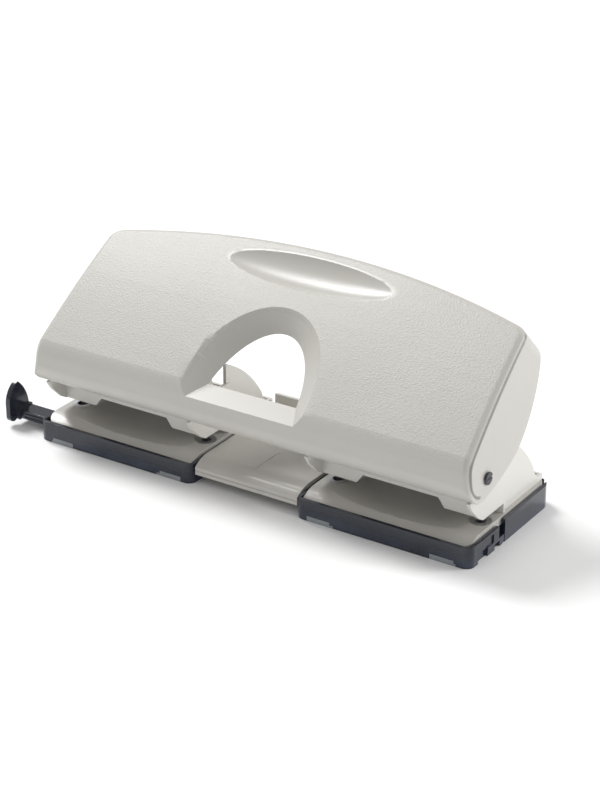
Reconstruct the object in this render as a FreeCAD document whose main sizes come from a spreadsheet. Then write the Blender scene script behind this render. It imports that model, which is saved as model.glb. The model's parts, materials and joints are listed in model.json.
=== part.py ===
import FreeCAD, Part
import Sketcher
import math
import os
from FreeCAD import Placement, Rotation, Vector

# Four-hole desk punch.  Millimetres, +Z up, X across the punch, Y from the paper side to the rear.
# Every sub-part is drawn from the datum x = 0 at the middle plane, y = 0 at the front of the chip
# trays and z = 0 at the table, then moved back by rest_y so that the row origin is the middle of the
# rear base's underside.

DIMENSIONS = {
    "rest_y": 58.0,           # datum to row origin
    "unit_offset": 80.0,      # middle plane to the middle of a punching unit
    "hole_offset": 40.0,      # unit middle to a hole
    "hole_y": 25.5,
    "pin_radius": 2.75,
    "running_gap": 0.05,
    "axle_y": 13.8,
    "axle_z": 43.0,
    "axle_radius": 3.0,
    "cover_sheet": 1.5,
    "cheek_foot": 133.2,      # half width of the cover where its side plane meets the table
    "cheek_lean": 0.104,
    "cover_corner": 9.0,
    "cover_edge": 4.0,
    "crest_radius": 441.0,
    "crest_reach": 91.0,      # from the face's foot to the crest, along the face
    "window_half": 37.0,
    "window_rise": 57.5,
    "throat_half": 26.7,
    "throat_rise": 49.0,
    "window_depth": 8.0,
    "window_foot": 6.5,
    "sill_slope": 17.0,
    "sill_reach": 13.6,
    "sill_radius": 78.0,
    "dish_half": 55.4,
    "dish_rise": 12.5,
    "dish_depth": 8.0,
    "dish_lift": 4.0,         # centre of the dish's ball above the face
    "dish_reach": 75.2,
    "deck_top": 13.0,
    "deck_sheet": 2.0,
    "deck_skirt": 8.6,
    "deck_front": 2.6,
    "deck_rear": 81.0,
    "deck_inner": 33.6,
    "deck_outer": 126.4,
    "deck_wall": 1.6,
    "roll_start": 14.0,
    "roll_radius": 19.0,
    "deck_corner": 6.0,
    "bridge_half": 30.6,
    "bridge_lip": 5.1,
    "cheek_out": 45.7,        # unit middle to the outer face of a front cheek
    "fin_out": 44.6,
    "frame_sheet": 1.8,
    "lobe_radius": 11.2,
    "lower_web": 18.6,
    "upper_web": 34.6,
    "apron_y": 17.5,
    "stop_y": 37.5,
    "pin_tip": 19.0,
    "pin_head": 45.2,
    "pin_top": 46.7,
    "head_radius": 3.6,
    "groove_low": 33.6,
    "groove_high": 34.5,
    "groove_radius": 2.2,
    "spring_wire": 0.6,
    "spring_radius": 3.25,
    "spring_turns": 6.0,
    "die_radius": 5.5,
    "die_bottom": 8.5,
    "die_bore": 2.8,
    "press_y": 25.5,
    "press_z": 50.0,
    "press_radius": 3.0,
    "tray_inner": 31.2,
    "tray_outer": 128.9,
    "tray_rear": 33.2,
    "tray_height": 11.0,
    "tray_wall": 2.0,
    "tray_floor": 1.8,
    "tray_corner": 4.5,
    "pivot_y": 31.0,
    "pivot_z": 2.4,
    "pivot_radius": 1.0,
    "knuckle_offset": 30.0,
    "knuckle_half": 4.0,
    "base_front": 34.0,
    "base_rear": 82.6,
    "base_half": 128.9,
    "base_height": 12.2,
    "base_floor": 2.0,
    "base_wall": 2.0,
    "base_corner": 8.0,
    "bar_front": 8.0,
    "bar_back": 17.5,
    "bar_low": 3.6,
    "bar_high": 8.4,
    "bar_inner_end": 39.5,
    "paddle_inner": 150.0,
    "paddle_outer": 152.8,
}

doc = FreeCAD.newDocument("hole_punch")
sheet = doc.addObject("Spreadsheet::Sheet", "Dims")
for line, (alias, value) in enumerate(DIMENSIONS.items(), start=1):
    sheet.set("A%d" % line, alias)
    sheet.set("B%d" % line, str(value))
    sheet.setAlias("B%d" % line, alias)
doc.recompute()

PARTS = []
SIDES = {"left": -1, "right": 1}


def dim(alias):
    return float(sheet.get(alias))


def keep(obj, label, across="0"):
    """Name a finished sub-part and place it in the row frame, moved across by an expression."""
    obj.Label = label
    obj.setExpression("Placement.Base.x", across)
    obj.setExpression("Placement.Base.y", "-Dims.rest_y")
    PARTS.append(obj)
    return obj


def keep_shape(label, shape, across=0.0):
    """A sub-part whose shape is worked out in code, placed like the others."""
    obj = doc.addObject("Part::Feature", label)
    obj.Label = label
    obj.Shape = shape
    obj.Placement = Placement(Vector(across, -dim("rest_y"), 0), Rotation())
    PARTS.append(obj)
    return obj


# ---------------------------------------------------------------- drawing helpers

def box(name, x0, x1, y0, y1, z0, z1):
    """A Part::Box between two corners given as expressions."""
    obj = doc.addObject("Part::Box", name)
    for size, low, high in (("Length", x0, x1), ("Width", y0, y1), ("Height", z0, z1)):
        obj.setExpression(size, "(%s) - (%s)" % (high, low))
    for axis, low in (("x", x0), ("y", y0), ("z", z0)):
        obj.setExpression("Placement.Base." + axis, low)
    return obj


def rod(name, along, start, radius, length):
    """A Part::Cylinder from a start point along X, Y or Z, all given as expressions."""
    turns = {"X": Rotation(Vector(0, 1, 0), 90), "Y": Rotation(Vector(1, 0, 0), -90), "Z": Rotation()}
    obj = doc.addObject("Part::Cylinder", name)
    obj.Placement = Placement(Vector(), turns[along])
    obj.setExpression("Radius", radius)
    obj.setExpression("Height", length)
    for axis, place in zip("xyz", start):
        obj.setExpression("Placement.Base." + axis, place)
    return obj


def fuse(name, pieces):
    obj = doc.addObject("Part::MultiFuse", name)
    obj.Shapes = pieces
    obj.Refine = True
    return obj


def cut(name, base, tools):
    obj = doc.addObject("Part::Cut", name)
    obj.Base = base
    obj.Tool = tools[0] if len(tools) == 1 else fuse(name + "_tools", tools)
    obj.Refine = True
    return obj


def new_body(name):
    return doc.addObject("PartDesign::Body", name + "_body")


def plane(body, role):
    return next(f for f in body.Origin.OriginFeatures if f.Role == role)


def arc3(a, b, c):
    return Part.Arc(Vector(*a, 0), Vector(*b, 0), Vector(*c, 0))


def sketch(body, name, role, outline, offset="0"):
    """A closed sketch: points joined by lines, and ("arc", middle) marks an arc to the next point."""
    obj = body.newObject("Sketcher::SketchObject", name)
    obj.AttachmentSupport = (plane(body, role), [""])
    obj.MapMode = "FlatFace"
    obj.setExpression("AttachmentOffset.Base.z", offset)
    points = [p for p in outline if p[0] != "arc"]
    middles = {}
    for entry in outline:
        if entry[0] == "arc":
            middles[last] = entry[1]
        else:
            last = entry
    for start, end in zip(points, points[1:] + points[:1]):
        if start in middles:
            obj.addGeometry(arc3(start, middles[start], end), False)
        else:
            obj.addGeometry(Part.LineSegment(Vector(*start, 0), Vector(*end, 0)), False)
    return obj


def circles(body, name, role, centres, radius, offset="0"):
    """A sketch of equal circles whose radius is bound to the sheet."""
    obj = body.newObject("Sketcher::SketchObject", name)
    obj.AttachmentSupport = (plane(body, role), [""])
    obj.MapMode = "FlatFace"
    obj.setExpression("AttachmentOffset.Base.z", offset)
    for index, (x, y) in enumerate(centres):
        obj.addGeometry(Part.Circle(Vector(x, y, 0), Vector(0, 0, 1), 1.0), False)
        obj.addConstraint(Sketcher.Constraint("Radius", index, 1.0))
        obj.setExpression("Constraints[%d]" % index, radius)
    return obj


def pad(body, name, profile, length):
    obj = body.newObject("PartDesign::Pad", name)
    obj.Profile = profile
    obj.setExpression("Length", length)
    return obj


def pocket(body, name, profile, length, reverse=False):
    """A pocket that is checked to take material away."""
    doc.recompute()
    before = body.Shape.Volume
    obj = body.newObject("PartDesign::Pocket", name)
    obj.Profile = profile
    obj.Reversed = reverse
    obj.setExpression("Length", length)
    doc.recompute()
    if body.Shape.Volume > before - 1e-3:
        raise ValueError("pocket %s takes nothing away" % name)
    return obj


def fillet(body, name, radius, chosen):
    """Round the edges of the body that a test picks."""
    doc.recompute()
    tip = body.Tip
    edges = ["Edge%d" % (i + 1) for i, edge in enumerate(tip.Shape.Edges) if chosen(edge)]
    obj = body.newObject("PartDesign::Fillet", name)
    obj.Base = (tip, edges)
    obj.setExpression("Radius", radius)
    doc.recompute()
    return obj


def near(value, target, slack):
    return abs(value - target) < slack


def rectangle(x0, x1, y0, y1):
    return [(x0, y0), (x1, y0), (x1, y1), (x0, y1)]


def middle_of(edge):
    return edge.valueAt((edge.FirstParameter + edge.LastParameter) / 2)


def upright(edge):
    """True for a straight edge that runs along Z."""
    a, b = edge.Vertexes[0].Point, edge.Vertexes[-1].Point
    return abs(a.x - b.x) < 1e-4 and abs(a.y - b.y) < 1e-4 and abs(a.z - b.z) > 0.5


# ---------------------------------------------------------------- handle cover

FACE_FOOT = (0.5, 57.9)
FACE_MIDDLE = (31.0, 81.3)
FACE_TOP = (82.0, 112.2)
NOSE_LIP = (3.6, 33.6)
NOSE_UNDER = (-1.4, 38.0)
NOSE_FRONT = (-3.5, 44.5)
NOSE_CREASE = (-3.1, 49.5)
NOSE_TURN = (-2.0, 53.8)
SILL_FOOT = (-2.6, 50.6)
OPEN_SIDE = [(100.6, 103.7), (76.2, 86.3), (71.5, 80.4), (43.0, 44.0), (9.4, 33.4)]
OPEN_ARCS = {7: (60.6, 60.2), 8: (26.8, 37.6)}
CREST_SLOPE = math.radians(46.0)
FACE_TILT = math.radians(35.2)


def along_face(reach, depth=0.0):
    """A point (y, z) at a reach up the face from its foot line and a depth behind it."""
    y = reach * math.cos(FACE_TILT) + depth * math.sin(FACE_TILT)
    z = 57.6 + reach * math.sin(FACE_TILT) - depth * math.cos(FACE_TILT)
    return y, z


def extrude_x(points, arcs, half):
    """A solid from a closed (y, z) outline with arcs, extruded over both halves."""
    edges = []
    for index, start in enumerate(points):
        end = points[(index + 1) % len(points)]
        a = Vector(-half, *start)
        b = Vector(-half, *end)
        if index in arcs:
            edges.append(Part.Arc(a, Vector(-half, *arcs[index]), b).toShape())
        else:
            edges.append(Part.LineSegment(a, b).toShape())
    return Part.Face(Part.Wire(edges)).extrude(Vector(2 * half, 0, 0))


def face_frame(solid):
    """Turn a solid drawn with x across, y up the face and z out of it into the face's own place."""
    y, z = along_face(0)
    solid = solid.copy()
    solid.rotate(Vector(), Vector(1, 0, 0), math.degrees(FACE_TILT))
    solid.translate(Vector(0, y, z))
    return solid


def side_profile(inset):
    """The cover's long solid: nose, face and open side; a positive inset draws its inside."""
    def inward(point, y, z):
        return point[0] + y * inset, point[1] + z * inset
    into = (math.sin(FACE_TILT), -math.cos(FACE_TILT))
    lip, under = inward(NOSE_LIP, 0.75, 0.66), inward(NOSE_UNDER, 0.8, 0.6)
    front, crease = inward(NOSE_FRONT, 1.0, 0.0), inward(NOSE_CREASE, 1.0, -0.1)
    turn, foot = inward(NOSE_TURN, 0.9, -0.4), inward(FACE_FOOT, *into)
    middle, top = inward(FACE_MIDDLE, *into), inward(FACE_TOP, *into)
    points = [lip, front, crease, foot, top]
    arcs = {0: under, 2: turn, 3: middle}
    if inset:
        return extrude_x(points + [(130.0, 95.0), (90.0, 20.0), (6.5, 20.0)], arcs, 140.0)
    return extrude_x(points + OPEN_SIDE, {**arcs, **OPEN_ARCS}, 140.0)


def leaning_prism(inset):
    """Everything between the two leaning side planes."""
    foot = dim("cheek_foot") - inset
    lean = dim("cheek_lean")
    low, high = 10.0, 130.0
    corners = [(-foot + lean * low, low), (foot - lean * low, low),
               (foot - lean * high, high), (-foot + lean * high, high)]
    wire = Part.makePolygon([Vector(x, -20, z) for x, z in corners + corners[:1]])
    return Part.Face(wire).extrude(Vector(0, 150, 0))


def crown_prism(inset):
    """Everything in front of the bowed top wall, which slopes down to the rear."""
    radius = dim("crest_radius") - inset
    reach = dim("crest_reach")
    turn = CREST_SLOPE + FACE_TILT
    lean = Vector(0, -math.cos(turn), math.sin(turn))
    disc = Part.Face(Part.Wire(Part.makeCircle(radius, Vector(0, reach - dim("crest_radius"), 0))))
    disc.translate(lean * -60)
    return face_frame(disc.extrude(lean * 90))


def window_cone(offset, depth):
    """The window's funnel: an ellipse on the face that narrows to the throat."""
    def oval(half, rise, z):
        ellipse = Part.Ellipse(Vector(0, 0, 0), rise, half)
        shape = ellipse.toShape()
        shape.rotate(Vector(), Vector(0, 0, 1), 90)
        shape.translate(Vector(0, -dim("window_foot"), z))
        return Part.Wire(shape)
    step_half = (dim("window_half") - dim("throat_half")) / dim("window_depth")
    step_rise = (dim("window_rise") - dim("throat_rise")) / dim("window_depth")
    half, rise, above = dim("window_half") + offset, dim("window_rise") + offset, 3.0
    top = oval(half + above * step_half, rise + above * step_rise, above)
    low = oval(half - depth * step_half, rise - depth * step_rise, -depth)
    return face_frame(Part.makeLoft([low, top], True))


def sill_block(drop):
    """Everything above the sill panel, which slopes gently up from the nose to its lip."""
    block = Part.makeBox(160, 150, 90, Vector(-80, -8, 0))
    block.rotate(Vector(), Vector(1, 0, 0), dim("sill_slope"))
    block.translate(Vector(0, SILL_FOOT[0], SILL_FOOT[1] - drop))
    return block


def sill_lip():
    """The round cut that leaves the sill's curved lip."""
    reach = dim("sill_reach") + dim("sill_radius")
    disc = Part.makeCylinder(dim("sill_radius"), 3.2, Vector(0, reach, -2.4))
    disc.rotate(Vector(), Vector(1, 0, 0), dim("sill_slope"))
    disc.translate(Vector(0, *SILL_FOOT))
    return disc


def dish(offset):
    """The shallow thumb dish near the crest."""
    ball = Part.makeSphere(1.0)
    matrix = FreeCAD.Matrix()
    matrix.scale(dim("dish_half") + offset, dim("dish_rise") + offset, dim("dish_depth") + offset)
    ball = ball.transformGeometry(matrix)
    ball.translate(Vector(0, dim("dish_reach"), dim("dish_lift")))
    return face_frame(ball)


def outward(face):
    """The outward normal near the middle of a face."""
    u0, u1, v0, v1 = face.ParameterRange
    return face.normalAt((u0 + u1) / 2, (v0 + v1) / 2)


def cover_form(inset):
    """The cover's outside, or its inside when inset, with its two upper corners rounded."""
    form = side_profile(inset).common(leaning_prism(inset)).common(crown_prism(inset))
    form = form.Solids[0]
    corners = []
    for edge in form.Edges:
        normals = [outward(face) for face in form.ancestorsOfType(edge, Part.Face)]
        steep = [n for n in normals if abs(n.x) > 0.9]
        top = [n for n in normals if n.y > 0.3 and n.z > 0.3]
        if steep and top:
            corners.append(edge)
    return form.makeFillet(dim("cover_corner") - inset, corners)


def bent_edges(form):
    """The edges where the face and nose turn into the sides and the top."""
    found = []
    for edge in form.Edges:
        normals = [outward(face) for face in form.ancestorsOfType(edge, Part.Face)]
        front = [n for n in normals if n.y < -0.3 and abs(n.x) < 0.3]
        other = [n for n in normals if n not in front]
        lip = middle_of(edge).z < dim("axle_z") - 3
        if len(front) == 1 and other and other[0].z > -0.3 and not lip:
            found.append(edge)
    return found


def handle_cover():
    """The pressed cover: a rounded shell with a funnel window, its sill and a thumb dish."""
    sheet_gap = dim("cover_sheet")
    outside = cover_form(0.0)
    outside = outside.makeFillet(dim("cover_edge"), bent_edges(outside))
    inside = cover_form(sheet_gap)
    depth = dim("window_depth")
    funnel = window_cone(0.0, depth).common(sill_block(0.0))
    backing = window_cone(sheet_gap * 1.2, depth).common(sill_block(sheet_gap))
    inside = inside.cut(backing).cut(dish(sheet_gap))
    shell = outside.cut(funnel).cut(dish(0.0)).cut(inside)
    shell = shell.cut(sill_lip().common(window_cone(0.0, depth + 6)))
    holes = Part.makeCylinder(2.1, 400, Vector(-200, dim("axle_y"), dim("axle_z")), Vector(1, 0, 0))
    shell = shell.cut(holes)
    return max(shell.Solids, key=lambda solid: solid.Volume)


keep_shape("handle_cover", handle_cover())


# ---------------------------------------------------------------- handle fittings

def press_bracket(side):
    """A sheet bracket under the cover whose two arms carry the press bar."""
    press_y, press_z = dim("press_y"), dim("press_z")
    arm = []
    for index, place in enumerate((-30.0, 28.5)):
        body = new_body("press_arm_%s_%d" % (side, index))
        outline = [(press_y - 5.0, press_z + 2.0), (press_y - 3.0, press_z - 4.6),
                   (press_y + 3.0, press_z - 4.6), (press_y + 6.0, press_z + 4.0),
                   (press_y + 14.0, 80.0), (press_y - 5.0, 66.5)]
        profile = sketch(body, "outline", "YZ_Plane", outline, str(place))
        pad(body, "plate", profile, "Dims.frame_sheet - 0.3")
        arm.append(body)
    bore = rod("press_bore_" + side, "X", ("-35", "Dims.press_y", "Dims.press_z"), "Dims.press_radius", "70")
    top = new_body("press_top_%s" % side)
    lip = [(press_y - 5.0, 66.5), (press_y + 14.0, 80.0), (press_y + 15.0, 78.6), (press_y - 4.0, 65.1)]
    pad(top, "flange", sketch(top, "outline", "YZ_Plane", lip, "-30"), "60")
    whole = fuse("press_frame_%s" % side, arm + [top])
    return cut("press_bracket_%s" % side, whole, [bore])


def stepped_rod(name, place, radius, step, half, nose):
    """A rod along X about the middle, with a smaller nose at each end."""
    body = rod(name + "_body", "X", ("-%s" % half,) + place, radius, "%s" % (2 * half))
    core = rod(name + "_core", "X", ("-%s" % (half + nose),) + place, "%s - %s" % (radius, step),
               "%s" % (2 * (half + nose)))
    return fuse(name, [body, core])


for side, sign in SIDES.items():
    across = "%d * Dims.unit_offset" % sign
    keep(press_bracket(side), "press_bracket_" + side, across)
    place = ("Dims.press_y", "Dims.press_z")
    bar = stepped_rod("press_rod_" + side, place, "Dims.press_radius", 0.5, 42.0, 0.5)
    keep(bar, "press_bar_" + side, across)

axle_rod = rod("axle_rod", "X", ("-126.6", "Dims.axle_y", "Dims.axle_z"), "Dims.axle_radius", "253.2")
taps = [rod("axle_tap_left", "X", ("-127", "Dims.axle_y", "Dims.axle_z"), "2.0", "9"),
        rod("axle_tap_right", "X", ("118", "Dims.axle_y", "Dims.axle_z"), "2.0", "9")]
keep(cut("axle", axle_rod, taps), "axle")

for side, sign in SIDES.items():
    start, head = ("118.4", "129.1") if sign > 0 else ("-129.2", "-130.1")
    shank = rod("screw_shank_" + side, "X", (start, "Dims.axle_y", "Dims.axle_z"), "1.98", "10.8")
    cap = rod("screw_cap_" + side, "X", (head, "Dims.axle_y", "Dims.axle_z"), "3.2", "1.0")
    slot_x = ("129.6", "130.4") if sign > 0 else ("-130.4", "-129.6")
    slot = box("screw_slot_" + side, slot_x[0], slot_x[1], "Dims.axle_y - 4", "Dims.axle_y + 4",
               "Dims.axle_z - 0.5", "Dims.axle_z + 0.5")
    keep(cut("axle_screw_" + side, fuse("screw_" + side, [shank, cap]), [slot]), "axle_screw_" + side)


# ---------------------------------------------------------------- punching units

FIN_CENTRE = (6.67, -16.37)
FIN_RADIUS = 74.67


def fin_point(y):
    return y, FIN_CENTRE[1] + math.sqrt(FIN_RADIUS ** 2 - (y - FIN_CENTRE[0]) ** 2)


def cheek_front_outline():
    """The front half of a cheek: axle lobe, throat edge and the part that meets the paper stop."""
    y, z, lobe = dim("axle_y"), dim("axle_z"), dim("lobe_radius")
    low_angle, high_angle = math.radians(222), math.radians(10)
    low = (y + lobe * math.cos(low_angle), z + lobe * math.sin(low_angle))
    high = (y + lobe * math.cos(high_angle), z + lobe * math.sin(high_angle))
    web_top = dim("upper_web") + dim("frame_sheet") + 4
    crown = (y - lobe * math.cos(math.radians(60)), z + lobe * math.sin(math.radians(60)))
    return [low, ("arc", crown), high,
            (30.0, web_top + 0.6), (39.3, web_top + 0.6), (39.3, dim("deck_top")), (37.6, dim("deck_top")),
            (37.6, 18.3), (17.4, 18.3), (13.3, 20.6), (6.1, 27.9), (3.2, 32.6), (6.2, 32.9)]


def cheek_rear_outline():
    """The rear half of a cheek: the round-backed fin that stands on the deck."""
    top = fin_point(39.6)
    return [(37.6, dim("deck_top")), (37.6, top[1]), top, ("arc", fin_point(56.0)), fin_point(69.6),
            (71.0, 20.0), (74.5, 16.2), (80.0, 16.0), (80.0, dim("deck_top"))]


def chassis(side):
    """A punching unit's folded frame: two cheeks, apron with lugs, two webs and the paper stop."""
    pieces = []
    for end, sign in SIDES.items():
        body = new_body("cheek_front_%s_%s" % (side, end))
        offset = "Dims.cheek_out - Dims.frame_sheet" if sign > 0 else "-Dims.cheek_out"
        profile = sketch(body, "outline", "YZ_Plane", cheek_front_outline(), offset)
        pad(body, "plate", profile, "Dims.frame_sheet")
        pieces.append(body)
        body = new_body("cheek_rear_%s_%s" % (side, end))
        offset = "Dims.fin_out - Dims.frame_sheet" if sign > 0 else "-Dims.fin_out"
        profile = sketch(body, "outline", "YZ_Plane", cheek_rear_outline(), offset)
        pad(body, "plate", profile, "Dims.frame_sheet")
        pieces.append(body)
        low, high = ("36", "43.2") if sign > 0 else ("-43.2", "-36")
        pieces.append(box("foot_%s_%s" % (side, end), low, high, "54", "78",
                          "Dims.deck_top", "Dims.deck_top + Dims.frame_sheet"))
    reach = "44.2"
    apron = new_body("apron_" + side)
    outline = [(-44.2, 36.4), (-44.2, 18.6), (-24.5, 18.6), (-21.0, 23.4), (21.0, 23.4), (24.5, 18.6),
               (44.2, 18.6), (44.2, 36.4)]
    pad(apron, "plate", sketch(apron, "outline", "XZ_Plane", outline, "-Dims.apron_y - Dims.frame_sheet"),
        "Dims.frame_sheet")
    pieces.append(apron)
    pieces.append(box("stop_" + side, "-" + reach, reach, "Dims.stop_y", "Dims.stop_y + Dims.frame_sheet",
                      "Dims.deck_top", "Dims.upper_web + Dims.frame_sheet"))
    pieces.append(box("upper_web_" + side, "-" + reach, reach, "Dims.apron_y", "Dims.stop_y + 1",
                      "Dims.upper_web", "Dims.upper_web + Dims.frame_sheet"))
    for end, sign in SIDES.items():
        low, high = ("24.5", reach) if sign > 0 else ("-" + reach, "-24.5")
        pieces.append(box("lower_web_%s_%s" % (side, end), low, high, "Dims.apron_y", "Dims.stop_y + 1",
                          "Dims.lower_web", "Dims.lower_web + 2"))
    pieces.append(box("flange_" + side, "-44.2", "44.2", "78.4", "80", "Dims.deck_top", "Dims.deck_top + 3"))
    tools = [rod("axle_bore_" + side, "X", ("-50", "Dims.axle_y", "Dims.axle_z"),
                 "Dims.axle_radius + Dims.running_gap", "100")]
    for end, sign in SIDES.items():
        spot = ("%d * Dims.hole_offset" % sign, "Dims.hole_y", "15")
        bore_radius = "Dims.pin_radius + Dims.running_gap"
        tools.append(rod("pin_bore_%s_%s" % (side, end), "Z", spot, bore_radius, "30"))
        for row, place in enumerate(("59", "71")):
            tools.append(rod("foot_hole_%s_%s_%d" % (side, end, row), "Z", ("%d * 39.5" % sign, place, "10"),
                             "1.8", "8"))
    return cut("chassis_" + side, fuse("frame_" + side, pieces), tools)


def deck_profile(inset):
    """A deck's (y, z) section: flat top, rolled front edge, short skirt."""
    top = dim("deck_top") - inset
    centre_z = dim("deck_top") - dim("roll_radius")
    radius = dim("roll_radius") - inset
    front = dim("deck_front") + inset
    start = dim("roll_start")
    drop = centre_z + math.sqrt(radius ** 2 - (start - front) ** 2)
    half = (start + front) / 2
    middle = (half, centre_z + math.sqrt(radius ** 2 - (start - half) ** 2))
    return top, front, drop, start, middle


def plate_pan(body, low, high, rear, skirt):
    """A rolled plate that spans low to high, before it is hollowed."""
    top, front, drop, start, middle = deck_profile(0.0)
    outline = [(rear, skirt), (front, skirt), (front, drop), ("arc", middle), (start, top), (rear, top)]
    return pad(body, "plate", sketch(body, "section", "YZ_Plane", outline, low), "(%s) - (%s)" % (high, low))


def hollow_pan(body, low, high, rear, skirt):
    """The hollow under a rolled plate."""
    sheet_thick = dim("deck_sheet")
    top, front, drop, start, middle = deck_profile(sheet_thick)
    below = skirt - 5
    outline = [(rear, below), (front, below), (front, drop), ("arc", middle), (start, top), (rear, top)]
    profile = sketch(body, "hollow", "YZ_Plane", outline, low)
    return pocket(body, "underside", profile, "(%s) - (%s)" % (high, low), True)


def deck(side, sign):
    """One unit's deck plate with its rolled edges and die holes."""
    body = new_body("deck_" + side)
    inner, outer = "Dims.deck_inner", "Dims.deck_outer"
    low, high = (inner, outer) if sign > 0 else ("-" + outer, "-" + inner)
    rear, skirt = dim("deck_rear"), dim("deck_skirt")
    plate_pan(body, low, high, rear, skirt)
    edge_x = sign * dim("deck_outer")
    fillet(body, "corners", "Dims.deck_corner",
           lambda e: upright(e) and near(e.Vertexes[0].X, edge_x, 0.1))
    low, high = (inner + " + Dims.deck_wall", outer + " - Dims.deck_wall")
    if sign < 0:
        low, high = "-(%s)" % high, "-(%s)" % low
    hollow_pan(body, low, high, rear - dim("deck_wall"), skirt)
    centres = [(sign * (dim("unit_offset") + place), dim("hole_y")) for place in (-40.0, 40.0)]
    holes = circles(body, "die_seats", "XY_Plane", centres, "Dims.die_radius + 0.02", "20")
    pocket(body, "die_holes", holes, "30")
    places = [(sign * (dim("unit_offset") + x), y) for x in (-39.5, 39.5) for y in (59.0, 71.0)]
    pocket(body, "screw_holes", circles(body, "screw_seats", "XY_Plane", places, "1.8", "20"), "30")
    return body


def bridge_plate():
    """The tongue between the units, with a deep front lip."""
    body = new_body("bridge_plate")
    low, high = "-Dims.bridge_half", "Dims.bridge_half"
    plate_pan(body, low, high, dim("deck_rear"), dim("bridge_lip"))
    low, high = "-Dims.bridge_half + Dims.deck_wall", "Dims.bridge_half - Dims.deck_wall"
    hollow_pan(body, low, high, dim("deck_rear") - dim("deck_wall"), dim("bridge_lip"))
    under = [(15.0, 0.0), (90.0, 0.0), (90.0, 10.9), (15.0, 10.9)]
    profile = sketch(body, "side_trim", "YZ_Plane", under, "-40")
    pocket(body, "trim", profile, "80", True)
    return body


def revolved(name, outline):
    """A turned piece from an (r, z) outline drawn right of its axis."""
    body = new_body(name)
    profile = sketch(body, "section", "XZ_Plane", outline)
    turn = body.newObject("PartDesign::Revolution", "turned")
    turn.Profile = profile
    turn.ReferenceAxis = (profile, ["V_Axis"])
    turn.Angle = 360.0
    return body


def punch_pin(name):
    """A pin with a flat head, a retaining groove and a hollow-ground tip."""
    r, low, groove, head = dim("pin_radius"), dim("pin_tip"), dim("groove_radius"), dim("head_radius")
    outline = [(0.0, low + 1.2), (r, low), (r, dim("groove_low")), (groove, dim("groove_low")),
               (groove, dim("groove_high")), (r, dim("groove_high")), (r, dim("pin_head")),
               (head, dim("pin_head")), (head, dim("pin_top")), (0.0, dim("pin_top"))]
    return revolved(name, outline)


def die(name):
    r, bore, low, top = dim("die_radius"), dim("die_bore"), dim("die_bottom"), dim("deck_top")
    return revolved(name, [(bore, low), (r, low), (r, top), (bore, top)])


def circlip(name):
    """An open retaining ring in the pin's groove."""
    ring = rod(name + "_ring", "Z", ("0", "0", "Dims.groove_low + 0.05"), "Dims.head_radius", "0.8")
    hole = rod(name + "_hole", "Z", ("0", "0", "Dims.groove_low - 1"), "Dims.groove_radius + 0.02", "3")
    gap = box(name + "_gap", "-1.4", "1.4", "-5", "0", "Dims.groove_low - 1", "Dims.groove_low + 2")
    return cut(name + "_cut", ring, [hole, gap])


def coil_spring(name):
    """The return spring round a pin, between the lower web and the circlip."""
    low = dim("lower_web") + 2.0 + dim("spring_wire") / 2 + 0.02
    high = dim("groove_low") - dim("spring_wire") / 2 - 0.02
    turns = dim("spring_turns")
    helix = Part.makeLongHelix((high - low) / turns, high - low, dim("spring_radius"))
    helix.translate(Vector(0, 0, low))
    start = Vector(dim("spring_radius"), 0, low)
    section = Part.Wire(Part.makeCircle(dim("spring_wire") / 2, start, Vector(0, 1, 0.1)))
    return helix.makePipeShell([section], True, True)


pin_number = 0
for side, sign in SIDES.items():
    across = "%d * Dims.unit_offset" % sign
    keep(chassis(side), "chassis_" + side, across)
    keep(deck(side, sign), "deck_" + side)
    for place in (-1, 1):
        pin_number += 1
        spot = "%d * Dims.unit_offset + %d * Dims.hole_offset" % (sign, place)
        x = sign * dim("unit_offset") + place * dim("hole_offset")
        turned = [(die, "die_bush"), (punch_pin, "punch_pin"), (circlip, "circlip")]
        for build, title in turned:
            piece = keep(build("%s_%d" % (title, pin_number)), "%s_%d" % (title, pin_number), spot)
            piece.setExpression("Placement.Base.y", "Dims.hole_y - Dims.rest_y")
        spring = keep_shape("return_spring_%d" % pin_number, coil_spring("spring"), x)
        spring.Placement = Placement(Vector(x, dim("hole_y") - dim("rest_y"), 0), Rotation())

keep(bridge_plate(), "bridge_plate")
rail_wall = box("rail_wall", "-33", "33", "78.4", "80.4", "Dims.deck_top", "20")
rail_foot = box("rail_foot", "-33", "33", "70", "79", "Dims.deck_top", "Dims.deck_top + Dims.frame_sheet")
keep(fuse("bridge_rail", [rail_wall, rail_foot]), "bridge_rail")


# ---------------------------------------------------------------- rear base and chip trays

def slab(body, name, x0, x1, y0, y1, offset, height):
    outline = rectangle(x0, x1, y0, y1)
    return pad(body, name, sketch(body, name + "_outline", "XY_Plane", outline, offset), height)


def rear_base():
    """The moulded rear base: a ribbed tub under the decks with the trays' hinge knuckles."""
    body = new_body("rear_base")
    half, front, rear = dim("base_half"), dim("base_front"), dim("base_rear")
    slab(body, "slab", -half, half, front, rear, "0", "Dims.base_height")
    fillet(body, "corners", "Dims.base_corner", lambda e: upright(e) and near(e.Vertexes[0].Y, rear, 0.1))
    wall = dim("base_wall")
    seat = rectangle(-half + wall, half - wall, front - 1, rear - 1.2)
    pocket(body, "deck_seat", sketch(body, "seat_outline", "XY_Plane", seat, "20"), "20 - 8.4")
    ribs = 9
    pitch = (2 * half - wall) / ribs
    for index in range(ribs):
        x0 = -half + wall + index * pitch
        cell = rectangle(x0, x0 + pitch - wall, front + wall, rear - wall - 6.0)
        if index in (0, ribs - 1):
            cell = rectangle(x0, x0 + pitch - wall, front + wall, rear - wall - 8.0)
        pocket(body, "cell_%d" % index, sketch(body, "cell_outline_%d" % index, "XY_Plane", cell, "20"),
               "20 - Dims.base_floor")
    return body


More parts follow.
